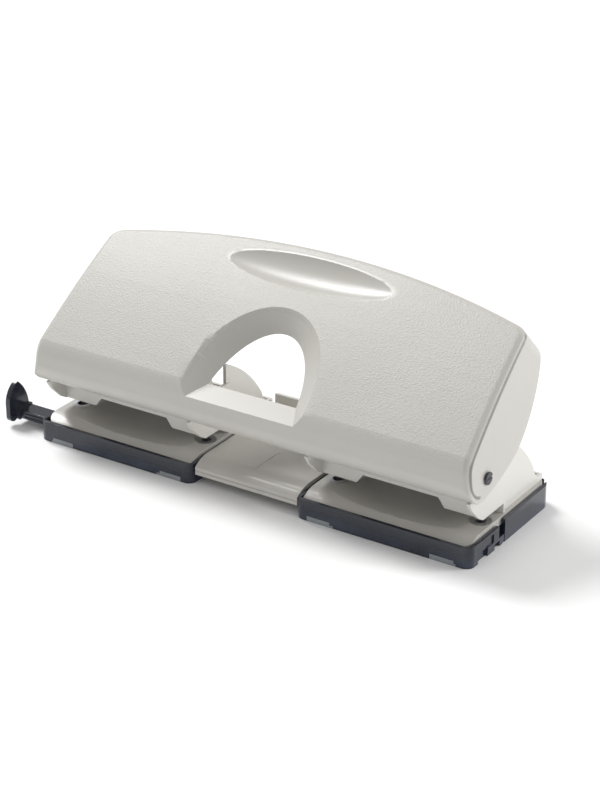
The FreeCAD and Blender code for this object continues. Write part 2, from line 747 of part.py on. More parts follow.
def knuckles():
    """Lugs of the rear base that carry the trays' hinge rods."""
    lugs = []
    for side, sign in SIDES.items():
        for end in (-1, 1):
            name = "knuckle_%s_%d" % (side, end + 2)
            middle = "%d * Dims.unit_offset + %d * Dims.knuckle_offset" % (sign, end)
            start = middle + " - Dims.knuckle_half"
            lugs.append(rod(name + "_eye", "X", (start, "Dims.pivot_y", "Dims.pivot_z"), "2.1",
                            "2 * Dims.knuckle_half"))
            lugs.append(box(name + "_neck", start, middle + " + Dims.knuckle_half", "Dims.pivot_y",
                            "Dims.base_front + 1", "0.6", "4.3"))
    return lugs


def pivot_rods(radius, extra):
    return [rod("pivot_hole_%s_%s" % (side, extra), "X",
                ("%d * Dims.unit_offset - 48" % sign, "Dims.pivot_y", "Dims.pivot_z"), radius, "96")
            for side, sign in SIDES.items()]


base = rear_base()
base_posts = []
screw_bores = []
for side, sign in SIDES.items():
    for x in (-39.5, 39.5):
        for y in (59.0, 71.0):
            spot = ("%d * Dims.unit_offset + %s" % (sign, x), str(y))
            name = "%s_%d_%d" % (side, x + 40, y)
            height = "Dims.deck_top - Dims.deck_sheet - 1"
            base_posts.append(rod("post_" + name, "Z", spot + ("1",), "3.5", height))
            screw_bores.append(rod("bore_" + name, "Z", spot + ("4",), "1.52", "20"))
pads = [box("pad_%s" % side, "%d * 112 - 9" % sign, "%d * 112 + 9" % sign, "66", "76", "-1", "1.0")
        for side, sign in SIDES.items()]
base_solid = fuse("base_moulding", [base] + knuckles() + base_posts)
base_tools = pivot_rods("Dims.pivot_radius + 0.01", "base") + screw_bores + pads
keep(cut("rear_base", base_solid, base_tools), "rear_base")

foot_pads = [box("base_pad_%s" % side, "%d * 112 - 9" % sign, "%d * 112 + 9" % sign, "66", "76", "0", "1.0")
             for side, sign in SIDES.items()]
keep(fuse("base_pads", foot_pads), "base_pads")

for side, sign in SIDES.items():
    screws = []
    for x in (-39.5, 39.5):
        for y in (59.0, 71.0):
            spot = ("%d * Dims.unit_offset + %s" % (sign, x), str(y))
            name = "%s_%d_%d" % (side, x + 40, y)
            screws.append(rod("shank_" + name, "Z", spot + ("5",), "1.5", "10.2"))
            screws.append(rod("head_" + name, "Z", spot + ("Dims.deck_top + 1.8",), "3.0", "1.4"))
    keep(fuse("deck_screws_" + side, screws), "deck_screws_" + side)


def chip_tray(side):
    """A drop-down chip tray, drawn about its unit's middle."""
    body = new_body("tray_" + side)
    half = (dim("tray_outer") - dim("tray_inner")) / 2
    rear, wall = dim("tray_rear"), dim("tray_wall")
    slab(body, "slab", -half, half, 0.0, rear, "0", "Dims.tray_height")
    fillet(body, "corners", "Dims.tray_corner", lambda e: upright(e) and near(e.Vertexes[0].Y, 0.0, 0.1))
    fillet(body, "heel", "2.2",
           lambda e: near(middle_of(e).y, rear, 0.01) and near(middle_of(e).z, 0.0, 0.01))
    inner = rectangle(-half + wall, half - wall, wall, rear - 5.0)
    pocket(body, "bowl", sketch(body, "bowl_outline", "XY_Plane", inner, "20"), "20 - Dims.tray_floor")
    rear_cut = rectangle(-half - 1, half + 1, rear - 5.0, rear + 1)
    pocket(body, "low_rear", sketch(body, "rear_outline", "XY_Plane", rear_cut, "20"), "20 - 4.6")
    return body


def tray_tools(side, sign):
    """What is cut out of a tray: hinge bore, knuckle notches, grip notch, foot seats, bar slot."""
    half = "(Dims.tray_outer - Dims.tray_inner) / 2"
    tools = [rod("tray_bore_" + side, "X", ("-48.2", "Dims.pivot_y", "Dims.pivot_z"),
                 "Dims.pivot_radius + Dims.running_gap", "96.4")]
    for end in (-1, 1):
        middle = "%d * Dims.knuckle_offset" % end
        tools.append(box("notch_%s_%d" % (side, end + 2), middle + " - Dims.knuckle_half - 0.3",
                         middle + " + Dims.knuckle_half + 0.3", "28.4", "34", "-1", "6"))
    outer = [(half + " - 1.4", half + " + 1"), ("-(%s) - 1" % half, "-(%s) + 1.4" % half)]
    low, high = outer[0] if sign > 0 else outer[1]
    tools.append(box("grip_" + side, low, high, "7.8", "17.3", "-1", "4.4"))
    tools.append(box("step_" + side, low, high, "24", "29", "-1", "3"))
    for end in (-1, 1):
        tools.append(box("foot_seat_%s_%d" % (side, end + 2), "%d * 34 - 7" % end, "%d * 34 + 7" % end,
                         "-1", "5", "-1", "Dims.tray_floor - 0.6"))
    if sign < 0:
        tools.append(box("bar_slot", "-(%s) - 1" % half, "-(%s) + 3" % half, "Dims.bar_front - 0.6",
                         "Dims.bar_back + 0.6", "Dims.bar_low - 0.6", "20"))
        tools.append(box("swing_relief", "-(%s) - 1" % half, "-(%s) + 3" % half, "Dims.bar_back", "21.2",
                         "5.6", "20"))
    return tools


for side, sign in SIDES.items():
    across = "%d * (Dims.tray_outer + Dims.tray_inner) / 2" % sign
    tray = cut("chip_tray_" + side, chip_tray(side), tray_tools(side, sign))
    keep(tray, "chip_tray_" + side, across)
    pair = [box("tray_foot_%s_%d" % (side, end + 2), "%d * 34 - 7" % end, "%d * 34 + 7" % end,
                "0.0", "5", "0", "Dims.tray_floor - 0.6") for end in (-1, 1)]
    feet = fuse("tray_feet_" + side, pair)
    keep(feet, "tray_feet_" + side, across)
    place = ("Dims.pivot_y", "Dims.pivot_z")
    hinge = stepped_rod("hinge_rod_" + side, place, "Dims.pivot_radius", 0.3, 46.0, 0.3)
    keep(hinge, "tray_hinge_rod_" + side, across)


# ---------------------------------------------------------------- paper guide

def guide_bar():
    """The sliding paper guide: a flat bar with two grooves along its front."""
    bar = box("bar_blank", "-Dims.paddle_inner", "-Dims.bar_inner_end", "Dims.bar_front", "Dims.bar_back",
              "Dims.bar_low", "Dims.bar_high")
    tools = [box("bar_groove_%d" % row, "-Dims.paddle_inner + 4", "-Dims.bar_inner_end + 1",
                 "Dims.bar_front - 1", "Dims.bar_front + 0.5", low, high)
             for row, (low, high) in enumerate((("4.7", "5.3"), ("6.7", "7.3")))]
    return cut("guide_bar", bar, tools)


def guide_paddle():
    """The paper stop at the bar's outer end, a plate with a domed top and a collar."""
    body = new_body("paddle")
    outline = [(1.5, 6.0), ("arc", (4.75, 2.75)), (8.0, 6.0), (17.2, 8.6), ("arc", (14.6, 17.6)), (9.0, 24.4),
               ("arc", (3.9, 20.4)), (1.5, 12.0)]
    pad(body, "plate", sketch(body, "outline", "YZ_Plane", outline, "-Dims.paddle_outer"),
        "Dims.paddle_outer - Dims.paddle_inner")
    collar = box("collar", "-Dims.paddle_inner - 0.5", "-Dims.paddle_inner + 1.6", "Dims.bar_front - 0.7",
                 "Dims.bar_back + 0.7", "Dims.bar_low - 0.7", "Dims.bar_high + 0.7")
    seat = box("bar_seat", "-Dims.paddle_inner", "-Dims.paddle_inner + 7", "Dims.bar_front", "Dims.bar_back",
               "Dims.bar_low", "Dims.bar_high")
    return cut("guide_paddle", fuse("paddle_blank", [body, collar]), [seat])


def guide_sleeve(name, low, high):
    """A bracket under the left deck that the guide bar slides through."""
    frame = box(name + "_frame", low, high, "Dims.bar_front - 1.4", "Dims.bar_back + 1.4",
                "Dims.bar_low - 1.2", "Dims.bar_high + 0.8")
    hanger = box(name + "_hanger", low, high, "14.6", "Dims.bar_back + 1.4", "Dims.bar_high",
                 "Dims.deck_top - Dims.deck_sheet")
    tunnel = box(name + "_tunnel", "(%s) - 1" % low, "(%s) + 1" % high, "Dims.bar_front - 0.2",
                 "Dims.bar_back + 0.2", "Dims.bar_low - 0.2", "Dims.bar_high + 0.2")
    return cut(name, fuse(name + "_solid", [frame, hanger]), [tunnel])


keep(guide_bar(), "guide_bar")
keep(guide_paddle(), "guide_paddle")
keep(guide_sleeve("guide_sleeve_outer", "-123", "-112"), "guide_sleeve_outer")
keep(guide_sleeve("guide_sleeve_inner", "-60", "-49"), "guide_sleeve_inner")


# ---------------------------------------------------------------- check and write

doc.recompute()
for obj in doc.Objects:
    if "Invalid" in obj.State or "Error" in obj.State:
        raise ValueError("failed object: %s %s" % (obj.Name, obj.State))
for obj in PARTS:
    if obj.Shape.isNull() or not obj.Shape.isValid():
        raise ValueError("bad shape: " + obj.Label)

os.makedirs("parts", exist_ok=True)
for obj in PARTS:
    obj.Shape.exportStep("parts/%s.step" % obj.Label)
print("wrote %d parts" % len(PARTS))
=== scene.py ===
import json
import math

import bpy
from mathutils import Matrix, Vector

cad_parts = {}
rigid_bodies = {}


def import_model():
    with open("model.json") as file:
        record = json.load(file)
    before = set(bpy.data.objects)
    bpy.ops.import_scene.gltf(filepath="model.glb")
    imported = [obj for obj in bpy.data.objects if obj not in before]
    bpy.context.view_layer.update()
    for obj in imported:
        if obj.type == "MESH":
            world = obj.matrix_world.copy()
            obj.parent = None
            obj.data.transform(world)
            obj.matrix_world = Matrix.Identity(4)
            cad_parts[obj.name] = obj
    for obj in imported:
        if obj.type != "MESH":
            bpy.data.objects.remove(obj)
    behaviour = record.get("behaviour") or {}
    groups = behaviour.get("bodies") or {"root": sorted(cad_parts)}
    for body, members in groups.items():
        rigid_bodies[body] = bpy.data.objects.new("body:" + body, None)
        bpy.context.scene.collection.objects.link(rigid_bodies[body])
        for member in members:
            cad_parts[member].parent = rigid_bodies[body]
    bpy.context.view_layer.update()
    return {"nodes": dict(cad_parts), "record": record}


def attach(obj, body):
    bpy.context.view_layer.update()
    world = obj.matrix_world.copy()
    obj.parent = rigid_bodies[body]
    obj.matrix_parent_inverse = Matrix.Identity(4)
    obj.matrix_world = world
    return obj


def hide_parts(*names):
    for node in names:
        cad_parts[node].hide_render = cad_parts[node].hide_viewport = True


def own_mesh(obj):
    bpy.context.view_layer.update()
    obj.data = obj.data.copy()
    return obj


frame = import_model()
NODES = frame["nodes"]
MM = 0.001


# ------------------------------------------------------------------ shader helpers

# The Mix node's sockets by number, because its colour and value sockets share their names.
MIX_AMOUNT, MIX_FIRST, MIX_SECOND, MIX_COLOUR = 0, 6, 7, 2


class Wire:
    """A socket's value used in Python expressions: each operator adds one Math node."""

    def __init__(self, paint, socket):
        self.paint = paint
        self.socket = socket

    def _math(self, operation, first, second):
        return self.paint.node("ShaderNodeMath", {"operation": operation}, {0: first, 1: second}).out(0)

    def __add__(self, other):
        return self._math("ADD", self, other)

    def __radd__(self, other):
        return self._math("ADD", other, self)

    def __sub__(self, other):
        return self._math("SUBTRACT", self, other)

    def __rsub__(self, other):
        return self._math("SUBTRACT", other, self)

    def __mul__(self, other):
        return self._math("MULTIPLY", self, other)

    def __rmul__(self, other):
        return self._math("MULTIPLY", other, self)

    def __truediv__(self, other):
        return self._math("DIVIDE", self, other)

    def power(self, other):
        return self._math("POWER", self, other)

    def most(self, other):
        return self._math("MAXIMUM", self, other)

    def soft_least(self, other, reach):
        inputs = {0: self, 1: other, 2: reach}
        return self.paint.node("ShaderNodeMath", {"operation": "SMOOTH_MIN"}, inputs).out(0)

    def magnitude(self):
        return self._math("ABSOLUTE", self, 0.0)

    def clamp(self):
        return self.paint.node("ShaderNodeClamp", {}, {"Value": self}).out(0)

    def ramp(self, low, high):
        """A smooth 0 to 1 step between two values."""
        settings = {"interpolation_type": "SMOOTHSTEP"}
        return self.paint.node("ShaderNodeMapRange", settings,
                               {"Value": self, "From Min": low, "From Max": high}).out(0)


class Placed:
    """A node that has been added, whose outputs are taken by name or number."""

    def __init__(self, paint, node):
        self.paint = paint
        self.raw = node

    def out(self, key):
        return Wire(self.paint, self.raw.outputs[key])


class Paint:
    """A material under construction around one Principled shader."""

    def __init__(self, name):
        self.material = bpy.data.materials.new(name)
        self.material.use_nodes = True
        self.tree = self.material.node_tree
        self.tree.nodes.clear()
        self.shader = self.node("ShaderNodeBsdfPrincipled", {}, {})
        self.node("ShaderNodeOutputMaterial", {}, {"Surface": self.shader.out(0)})
        self.place = self.node("ShaderNodeTexCoord", {}, {})

    def feed(self, socket, value):
        """Link a socket to another node's output, or set its constant."""
        if isinstance(value, Wire):
            self.tree.links.new(value.socket, socket)
        else:
            socket.default_value = value

    def node(self, kind, settings, inputs):
        """Any node, with its settings made before its sockets are fed."""
        node = self.tree.nodes.new(kind)
        for key, value in settings.items():
            setattr(node, key, value)
        for key, value in inputs.items():
            self.feed(node.inputs[key], value)
        return Placed(self, node)

    def set(self, **values):
        """Constants and links for the Principled shader, with spaces as underscores."""
        for key, value in values.items():
            self.feed(self.shader.raw.inputs[key.replace("_", " ")], value)

    def spot(self):
        return self.place.out("Object")

    def axis(self, letter):
        split = self.node("ShaderNodeSeparateXYZ", {}, {0: self.spot()})
        return split.out(letter)

    def noise(self, scale, detail=3.0, roughness=0.55, place=None):
        inputs = {"Vector": place or self.spot(), "Scale": scale, "Detail": detail,
                  "Roughness": roughness}
        return self.node("ShaderNodeTexNoise", {}, inputs).out(0)

    def cells(self, scale, place):
        """The distance to the nearest of many scattered points."""
        return self.node("ShaderNodeTexVoronoi", {}, {"Vector": place, "Scale": scale}).out(0)

    def wobble(self, reach, scale):
        """Object coordinates pushed about by a noise."""
        inputs = {"Vector": self.spot(), "Scale": scale, "Detail": 2.0}
        push = self.node("ShaderNodeTexNoise", {}, inputs).out(1)
        scaled = {0: push, "Scale": reach}
        push = self.node("ShaderNodeVectorMath", {"operation": "SCALE"}, scaled).out(0)
        moved = {0: self.spot(), 1: push}
        return self.node("ShaderNodeVectorMath", {"operation": "ADD"}, moved).out(0)

    def blend(self, amount, first, second):
        """Two colours mixed by a value."""
        return self.node("ShaderNodeMix", {"data_type": "RGBA"},
                         {MIX_AMOUNT: amount, MIX_FIRST: first, MIX_SECOND: second}).out(MIX_COLOUR)

    def bump(self, height, distance, strength):
        """A surface pushed in and out by a height, over a distance in metres."""
        inputs = {"Height": height, "Distance": distance, "Strength": strength}
        return self.node("ShaderNodeBump", {}, inputs).out(0)


def shade(red, green, blue):
    return (red, green, blue, 1.0)


def darker(tint, share):
    return [part * share for part in tint]


# ------------------------------------------------------------------ materials

REST_Y = 0.058            # from the front of the chip trays to the middle of the rear base

# The cover's form, in metres, which its grain and its seam follow.
FACE_CENTRE = (0.22976, -0.28495)   # (y, z) of the arc that the sloping face follows
FACE_RADIUS = 0.44729
FACE_FOOT = 0.0576        # height of the sloping face's lower end
FACE_TILT = math.radians(35.2)
NOSE_CENTRE = (-0.0504, 0.0445)     # (y, z) of the round nose
NOSE_RADIUS = 0.0111
DISH_HALF = (0.048, 0.0108)         # half the thumb dish's width and depth
DISH_REACH = 0.0752       # from the face's foot to the thumb dish, along the face
DISH_RIM = (0.95, 1.15)   # the dish's rim, where 1 is its outline
CHEEK_FOOT = 0.1332       # from the middle to a cheek, at the table's height
CHEEK_LEAN = 0.104        # how far a cheek leans in for each metre of height

# Where the leather grain fades out: off the face's arc, above its foot, and in from the cheeks.
GRAIN_OFF_FACE = (0.0012, 0.0022)
GRAIN_FOOT = (0.0525, 0.0575)
GRAIN_SIDE = (0.0012, 0.0026)
GRAIN_PITS = (0.50, 1.05) # the grain's heights between which its pits darken

# The dark seam on the cheeks, a real groove whose darkness is painted shadow: its depth below the face,
# its half width and its reach in from the edge.
SEAM_DEPTH = 0.0026
SEAM_BEND = 0.006         # how softly the seam turns from the face to the nose
SEAM_HALF = (0.0002, 0.0012)
SEAM_SIDE = (0.0010, 0.0020)
SEAM_TOP = (0.096, 0.105)
UNDER_NOSE_Y = (-0.0530, -0.0500)
UNDER_NOSE_Z = (0.0380, 0.0420)

COVER_GREY = shade(0.505, 0.488, 0.452)
COVER_PALE = shade(0.560, 0.542, 0.505)
COVER_PIT = shade(0.36, 0.347, 0.317)
# near black painted shadow for the seam groove along each cheek
SEAM_SHADOW_GREY = shade(0.10, 0.095, 0.088)
HANDLED_GREY = shade(0.30, 0.29, 0.27)


def outside_dish(x, y, z):
    """0 within the smooth thumb dish and 1 beyond its rim."""
    up_face = (y + REST_Y) * math.cos(FACE_TILT) + (z - FACE_FOOT) * math.sin(FACE_TILT)
    across, along = x / DISH_HALF[0], (up_face - DISH_REACH) / DISH_HALF[1]
    return (across * across + along * along).ramp(*DISH_RIM)


def cover_depths(x, y, z):
    """How far a point lies inside the face's arc, the nose's round and the cheek."""
    from_y, from_z = y - FACE_CENTRE[0], z - FACE_CENTRE[1]
    face = FACE_RADIUS - (from_y * from_y + from_z * from_z).power(0.5)
    ahead, below = (NOSE_CENTRE[0] - y).most(0.0), (NOSE_CENTRE[1] - z).most(0.0)
    nose = NOSE_RADIUS - (ahead * ahead + below * below).power(0.5)
    cheek = CHEEK_FOOT - (x.magnitude() + z * CHEEK_LEAN)
    return face, nose, cheek


def cheek_seam(y, z, face, nose, cheek):
    """1 on the thin seam that runs round each cheek, ending before the crest and the lip; its dark
    colour is painted shadow.
    """
    bend = (face.soft_least(nose, SEAM_BEND) - SEAM_DEPTH).magnitude()
    seam = (1.0 - bend.ramp(*SEAM_HALF)) * (1.0 - cheek.ramp(*SEAM_SIDE))
    under = y.ramp(*UNDER_NOSE_Y) * (1.0 - z.ramp(*UNDER_NOSE_Z))
    return seam * (1.0 - z.ramp(*SEAM_TOP)) * (1.0 - under)


def grained_paint():
    """Warm light grey paint: leather grain on the sloping face, smooth on nose, funnel and cheeks."""
    paint = Paint("grained_paint")
    x, y, z = paint.axis("X"), paint.axis("Y"), paint.axis("Z")
    face, nose, cheek = cover_depths(x, y, z)
    on_face = (1.0 - face.magnitude().ramp(*GRAIN_OFF_FACE)) * z.ramp(*GRAIN_FOOT)
    on_face = on_face * cheek.ramp(*GRAIN_SIDE) * outside_dish(x, y, z)
    seam = cheek_seam(y, z, face, nose, cheek)
    leather = paint.cells(1150.0, paint.wobble(reach=0.0007, scale=500.0))
    grain = leather * 0.75 + paint.noise(2400.0) * 0.5
    tone = paint.blend(paint.noise(22.0), COVER_GREY, COVER_PALE)
    tone = paint.blend(on_face * grain.ramp(*GRAIN_PITS) * 0.22, tone, COVER_PIT)
    # painted shadow: the seam groove along each cheek darkened towards near black
    tone = paint.blend(seam * 0.72, tone, SEAM_SHADOW_GREY)
    rub = paint.noise(240.0, 5.0, 0.7).ramp(0.66, 0.85)
    height = on_face * grain - seam * 2.0 + paint.noise(800.0, 2.0) * 0.05
    paint.set(Base_Color=tone, Roughness=0.34 + on_face * 0.12 + rub * 0.06,
              Normal=paint.bump(height, 0.00028, 0.6), Coat_Weight=0.10, Coat_Roughness=0.2)
    return paint.material


def smooth_paint(name, tint, dark, roughness, coat):
    """Glossy light grey paint with slight orange peel and handling marks."""
    paint = Paint(name)
    broad = paint.noise(35.0, 4.0)
    rub = paint.noise(260.0, 5.0, 0.7).ramp(0.68, 0.90)
    colour = paint.blend(broad * 0.6, shade(*tint), shade(*dark))
    colour = paint.blend(rub * 0.05, colour, HANDLED_GREY)
    peel = paint.noise(650.0, 2.0)
    paint.set(Base_Color=colour, Roughness=roughness + broad * 0.08 + rub * 0.05,
              Normal=paint.bump(peel, 0.00004, 0.5), Coat_Weight=coat, Coat_Roughness=0.10)
    return paint.material


def metal(name, tint, roughness):
    """Drawn or plated steel with fine lines across the punch's width and faint tarnish."""
    paint = Paint(name)
    stretch = {"Vector": paint.spot(), "Scale": (0.08, 1.0, 1.0)}
    lines = paint.noise(900.0, place=paint.node("ShaderNodeMapping", {}, stretch).out(0))
    tarnish = paint.noise(60.0, 4.0)
    colour = paint.blend(tarnish * 0.5, shade(*tint), shade(*darker(tint, 0.72)))
    paint.set(Base_Color=colour, Metallic=1.0, Roughness=roughness + lines * 0.14 + tarnish * 0.06,
              Normal=paint.bump(lines, 0.00004, 0.4))
    return paint.material


# Heights between which the trays' wall is thin and lets light through.
THIN_WALL_TOP = (0.0005, 0.0085)
THIN_WALL_FOOT = (0.0, 0.0012)


def smoky_plastic(name, tint, glow):
    """Dark smoky blue plastic with painted light: lighter in cloudy patches near the table, where its
    wall is thin and lets light through.
    """
    paint = Paint(name)
    height = paint.axis("Z")
    low = (1.0 - height.ramp(*THIN_WALL_TOP)) * height.ramp(*THIN_WALL_FOOT)
    cloud = paint.noise(42.0)
    # painted light: a glow colour blended in low on the walls for light let through the plastic
    amount = (low * (cloud * 1.6 - 0.35) + cloud * 0.15).clamp()
    colour = paint.blend(amount, shade(*tint), shade(*glow))
    rub = paint.noise(420.0, 5.0, 0.7).ramp(0.6, 0.8)
    paint.set(Base_Color=colour, Roughness=0.17 + rub * 0.14 + cloud * 0.05,
              Normal=paint.bump(paint.noise(180.0, 2.0), 0.00012, 0.35), Coat_Weight=0.3,
              Coat_Roughness=0.06)
    return paint.material


def soft_rubber(name, tint):
    """Soft matt anti-slip pad."""
    paint = Paint(name)
    grit = paint.noise(1400.0)
    cloud = paint.noise(80.0)
    colour = paint.blend(cloud, shade(*tint), shade(*darker(tint, 0.7)))
    paint.set(Base_Color=colour, Roughness=0.55 + grit * 0.25, Normal=paint.bump(grit, 0.0001, 0.5))
    return paint.material


FINISH = {
    "cover_paint": grained_paint(),
    "frame_paint": smooth_paint("frame_paint", tint=(0.70, 0.685, 0.645), dark=(0.63, 0.615, 0.575),
                                roughness=0.34, coat=0.2),
    # The deck is the frame's paint made darker: painted shade and dim reflection from under the cover.
    "deck_paint": smooth_paint("deck_paint", tint=(0.56, 0.54, 0.505), dark=(0.49, 0.47, 0.44),
                               roughness=0.31, coat=0.22),
    "plated_steel": metal("plated_steel", tint=(0.60, 0.60, 0.61), roughness=0.32),
    "bright_steel": metal("bright_steel", tint=(0.72, 0.72, 0.73), roughness=0.16),
    "dark_steel": metal("dark_steel", tint=(0.10, 0.10, 0.11), roughness=0.35),
    "navy_plastic": smoky_plastic("navy_plastic", tint=(0.009, 0.012, 0.021),
                                  glow=(0.045, 0.056, 0.090)),
    "rubber_pad": soft_rubber("rubber_pad", tint=(0.30, 0.32, 0.34)),
}


def dress(obj, slot):
    obj.data.materials.clear()
    obj.data.materials.append(FINISH[slot])
    for face in obj.data.polygons:
        face.material_index = 0


SLOT = {entry["node"]: entry["material_slot"] for entry in frame["record"]["subparts"]}
BODY = {node: body for body, nodes in frame["record"]["behaviour"]["bodies"].items() for node in nodes}
for node, slot in SLOT.items():
    dress(NODES[node], slot)


# ------------------------------------------------------------------ modelling helpers

SAME_POINT = 0.000002     # metres within which two mesh points are one
FLAT_ENOUGH = 0.6         # degrees below which two faces count as one flat area
SHARP_EDGE = 40.0         # degrees from which an edge is softened
SHARP_PIECE = 35.0        # degrees from which an edge stays sharp to the eye
SHARP_ROUNDED = 32.0      # the same, on a piece whose edges have been softened


def only(obj):
    """Make one object the selected and active one."""
    for other in bpy.context.view_layer.objects:
        other.select_set(False)
    obj.select_set(True)
    bpy.context.view_layer.objects.active = obj


def edit(obj, work):
    """Run mesh operators on all of one object."""
    only(obj)
    bpy.ops.object.mode_set(mode="EDIT")
    bpy.ops.mesh.select_all(action="SELECT")
    work()
    bpy.ops.object.mode_set(mode="OBJECT")


def row(x, y, z):
    """A place in metres from millimetres across, behind the trays' front and above the table."""
    return Vector((x * MM, y * MM - REST_Y, z * MM))


def block(name, low, high, bevel=0.0):
    """A box between two corners, with its edges rounded where a bevel is given.

    A high corner that lies below the low one along one direction turns the box inside out.
    """
    a, b = row(*low), row(*high)
    bpy.ops.object.select_all(action="DESELECT")
    bpy.ops.mesh.primitive_cube_add(size=1.0, location=(a + b) / 2, scale=tuple(b - a))
    obj = bpy.context.object
    obj.name = name
    bpy.ops.object.transform_apply(location=True, rotation=True, scale=True)
    if bevel:
        edit(obj, lambda: bpy.ops.mesh.bevel(offset=bevel * MM, segments=2, affect="EDGES"))
    return obj


def ball(name, centre, radii):
    """A flattened sphere used to scoop a dish."""
    bpy.ops.object.select_all(action="DESELECT")
    bpy.ops.mesh.primitive_uv_sphere_add(segments=96, ring_count=48, radius=1.0, location=row(*centre),
                                         scale=tuple(r * MM for r in radii))
    obj = bpy.context.object
    obj.name = name
    bpy.ops.object.transform_apply(location=True, rotation=True, scale=True)
    return obj


def apply(obj, kind, **settings):
    only(obj)
    step = obj.modifiers.new(kind.lower(), kind)
    for key, value in settings.items():
        setattr(step, key, value)
    bpy.ops.object.modifier_apply(modifier=step.name)


def carve(obj, cutters):
    """Take each cutter out of a solid, then throw the cutter away."""
    for cutter in cutters:
        apply(obj, "BOOLEAN", operation="DIFFERENCE", object=cutter, solver="EXACT")
        bpy.data.objects.remove(cutter)


def quilt(obj, step_x, step_z):
    """Cut a form into small fields, so that its smooth shading stays even."""
    low, high = obj.bound_box[0], obj.bound_box[6]

    def cuts():
        for axis, step in ((0, step_x), (2, step_z)):
            count = int((high[axis] - low[axis]) / step)
            for index in range(1, count + 1):
                place, normal = [0.0, 0.0, 0.0], [0.0, 0.0, 0.0]
                place[axis] = low[axis] + index * (high[axis] - low[axis]) / (count + 1)
                normal[axis] = 1.0
                bpy.ops.mesh.select_all(action="SELECT")
                bpy.ops.mesh.bisect(plane_co=place, plane_no=normal)
    edit(obj, cuts)


def finished(obj, nodes, body, slot, angle=SHARP_PIECE):
    """Give a finished piece its material, body and slot, and hide the sub-parts it stands for."""
    only(obj)
    bpy.ops.object.shade_smooth_by_angle(angle=math.radians(angle))
    dress(obj, slot)
    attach(obj, body)
    if nodes:
        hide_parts(*nodes)
    return obj


def merged(node, name):
    """A merged copy of a sub-part's mesh with its flat areas joined up."""
    obj = NODES[node].copy()
    obj.data = NODES[node].data.copy()
    obj.name = name
    bpy.context.scene.collection.objects.link(obj)

    def join():
        bpy.ops.mesh.remove_doubles(threshold=SAME_POINT)
        bpy.ops.mesh.dissolve_limited(angle_limit=math.radians(FLAT_ENOUGH))
    edit(obj, join)
    return obj


def rounded(node, width, cutters=(), segments=2, field=None, first=None):
    """A sub-part with its sharp edges softened by a width in millimetres.

    Detail is shaped by first and carved by the cutters before that, and field is the size of the
    small areas that a broad curved form is then cut into.
    """
    obj = merged(node, node + "_form")
    if first:
        first(obj)
    carve(obj, cutters)
    apply(obj, "BEVEL", width=width * MM, segments=segments, limit_method="ANGLE",
          angle_limit=math.radians(SHARP_EDGE), use_clamp_overlap=True, harden_normals=False,
          miter_outer="MITER_ARC")
    if field:
        quilt(obj, *field)
    finished(obj, [node], BODY[node], SLOT[node], SHARP_ROUNDED)
    apply(obj, "WEIGHTED_NORMAL", mode="FACE_AREA", weight=50, keep_sharp=True)


# ------------------------------------------------------------------ pieces

COVER_FIELD = (0.006, 0.005)        # metres across and up
NOSE_CORNER = 0.003       # radius of the nose's lower corners at the cheeks
NOSE_LOW = (-0.0540, 0.0401)        # (y, z) ahead of which and below which those corners lie
ON_CHEEK = 0.0002         # how near to a cheek's plane a point counts as on it


def blunt(obj):
    """Round the nose's lower edges on both cheeks, and the lines along the nose that end there."""
    only(obj)
    bpy.ops.object.mode_set(mode="EDIT")
    bpy.ops.mesh.select_all(action="DESELECT")
    bpy.ops.object.mode_set(mode="OBJECT")
    for edge in obj.data.edges:
        ends = [obj.data.vertices[v].co for v in edge.vertices]
        on_cheek = all(CHEEK_FOOT - abs(p.x) - CHEEK_LEAN * p.z < ON_CHEEK for p in ends)
        edge.select = on_cheek and all(p.y < NOSE_LOW[0] and p.z < NOSE_LOW[1] for p in ends)
    bpy.ops.object.mode_set(mode="EDIT")
    bpy.ops.mesh.bevel(offset=NOSE_CORNER, segments=6, affect="EDGES", clamp_overlap=True)
    bpy.ops.object.mode_set(mode="OBJECT")


rounded("handle_cover", width=0.45, segments=3, field=COVER_FIELD, first=blunt)

# In millimetres: the finger scoop in each deck, the sunk panel on the right tray's side and the two
# foot patches on each tray's front. The left tray's boxes come out inside out, so its panel isn't
# cut and its foot patches face inwards.
UNIT_MIDDLE = 80.0
SCOOP_BACK, SCOOP_HEIGHT = 21.0, 16.0
SCOOP_RADII = (51.0, 35.0, 4.4)
TRAY_SIDE = 128.9
PANEL_SUNK, PANEL_PAST = 0.7, 2.0   # how far the cutter reaches in and stands out
PANEL_LOW, PANEL_HIGH = (7.8, 4.4), (23.0, 9.4)
PATCH_SPANS = ((107.0, 120.0), (38.0, 51.0))
PATCH_PROUD, PATCH_DEEP = 0.12, 1.0
PATCH_LOW, PATCH_HIGH = 0.35, 2.7

for side, sign in (("left", -1), ("right", 1)):
    rounded("chassis_" + side, width=0.3)
    scoop = ball("scoop_" + side, (sign * UNIT_MIDDLE, SCOOP_BACK, SCOOP_HEIGHT), SCOOP_RADII)
    rounded("deck_" + side, width=0.7, cutters=[scoop], segments=3)
    panel = block("panel_" + side, (sign * (TRAY_SIDE - PANEL_SUNK), *PANEL_LOW),
                  (sign * (TRAY_SIDE + PANEL_PAST), *PANEL_HIGH))
    rounded("chip_tray_" + side, width=0.55, cutters=[panel], segments=3)
    for number, (near, far) in enumerate(PATCH_SPANS):
        patch = block("tray_patch_%s_%d" % (side, number), (sign * near, -PATCH_PROUD, PATCH_LOW),
                      (sign * far, PATCH_DEEP, PATCH_HIGH), bevel=0.1)
        finished(patch, [], BODY["chip_tray_" + side], "rubber_pad")

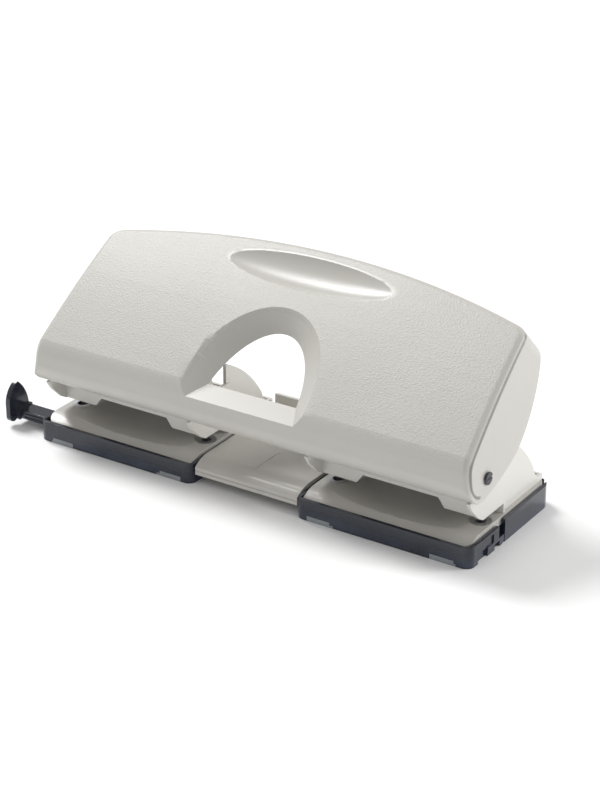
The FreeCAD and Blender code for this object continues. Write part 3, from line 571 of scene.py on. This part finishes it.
# Two shallow lines in the bridge: one at its middle from front to back, one along its front lip.
mark = block("centre_mark", low=(-0.14, 8.0, 12.7), high=(0.14, 34.0, 14.0))
lip_line = block("lip_line", low=(-40.0, 1.0, 7.1), high=(40.0, 2.95, 7.5))
rounded("bridge_plate", width=0.5, cutters=[mark, lip_line], segments=3)
rounded("rear_base", width=0.6, segments=3)
rounded("bridge_rail", width=0.4)
rounded("guide_bar", width=0.4)
rounded("guide_paddle", width=1.1, segments=4)
rounded("guide_sleeve_outer", width=0.3)
rounded("guide_sleeve_inner", width=0.3)
for side in ("left", "right"):
    rounded("press_bracket_" + side, width=0.2)
    rounded("axle_screw_" + side, width=0.25)
    rounded("deck_screws_" + side, width=0.4)

for number in (1, 2, 3, 4):
    node = "return_spring_%d" % number
    coil = finished(merged(node, "coil_%d" % number), [node], BODY[node], SLOT[node])
    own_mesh(coil)


# ------------------------------------------------------------------ floor, light and camera

FLOOR_SIZE = 60.0
FLOOR_WHITE = shade(0.965, 0.965, 0.965)
FLOOR_BRIGHT = shade(0.985, 0.985, 0.985)
SKY_STRENGTH = 0.52

# Each lamp's place and aim in metres, its width in metres and its power in watts.
LAMPS = {
    "key": ((-1.3, 0.30, 1.75), (0, 0, 0.03), 0.9, 36.0),
    "side": ((1.2, 0.85, 0.55), (0, 0, 0.05), 0.6, 11.5),
    "front": ((-0.4, -1.3, 0.35), (0, 0, 0.03), 0.7, 0.6),
}

VIEW_TURN = math.radians(33.16)     # round to the right of straight ahead
VIEW_LIFT = math.radians(25.10)     # above the table
VIEW_AIM = (14.5, 30.0, 47.3)       # millimetres, as row takes them
VIEW_DISTANCE = 1.087     # metres
LENS, SENSOR_WIDTH = 98.96, 36.0    # millimetres


def floor():
    """A plain pale floor, large enough to reach past the view on every side."""
    bpy.ops.mesh.primitive_plane_add(size=FLOOR_SIZE, location=(0, 0, 0))
    sheet = bpy.context.object
    sheet.name = "floor"
    paint = Paint("pale_floor")
    cloud = paint.noise(3.0, 2.0)
    paint.set(Base_Color=paint.blend(cloud, FLOOR_WHITE, FLOOR_BRIGHT), Roughness=0.75)
    sheet.data.materials.append(paint.material)


def lamp(name, place, aim, size, power):
    """A round soft lamp turned towards its aim."""
    data = bpy.data.lights.new(name, "AREA")
    data.shape = "DISK"
    data.size = size
    data.energy = power
    obj = bpy.data.objects.new(name, data)
    bpy.context.scene.collection.objects.link(obj)
    obj.location = place
    obj.rotation_euler = (Vector(aim) - Vector(place)).to_track_quat("-Z", "Y").to_euler()


def daylight():
    """Even white light from all round."""
    world = bpy.data.worlds.new("studio")
    world.use_nodes = True
    back = world.node_tree.nodes["Background"]
    back.inputs["Color"].default_value = (1.0, 1.0, 1.0, 1.0)
    back.inputs["Strength"].default_value = SKY_STRENGTH
    bpy.context.scene.world = world


def camera():
    """A long lens at the three-quarter view from the paper side."""
    away = Vector((math.sin(VIEW_TURN) * math.cos(VIEW_LIFT),
                   -math.cos(VIEW_TURN) * math.cos(VIEW_LIFT), math.sin(VIEW_LIFT)))
    data = bpy.data.cameras.new("camera")
    data.sensor_width = SENSOR_WIDTH
    data.lens = LENS
    obj = bpy.data.objects.new("camera", data)
    bpy.context.scene.collection.objects.link(obj)
    obj.location = row(*VIEW_AIM) + away * VIEW_DISTANCE
    obj.rotation_euler = (-away).to_track_quat("-Z", "Y").to_euler()
    bpy.context.scene.camera = obj


floor()
daylight()
for name, (place, aim, size, power) in LAMPS.items():
    lamp(name, place, aim, size, power)
bpy.context.scene.view_settings.view_transform = "Standard"
camera()
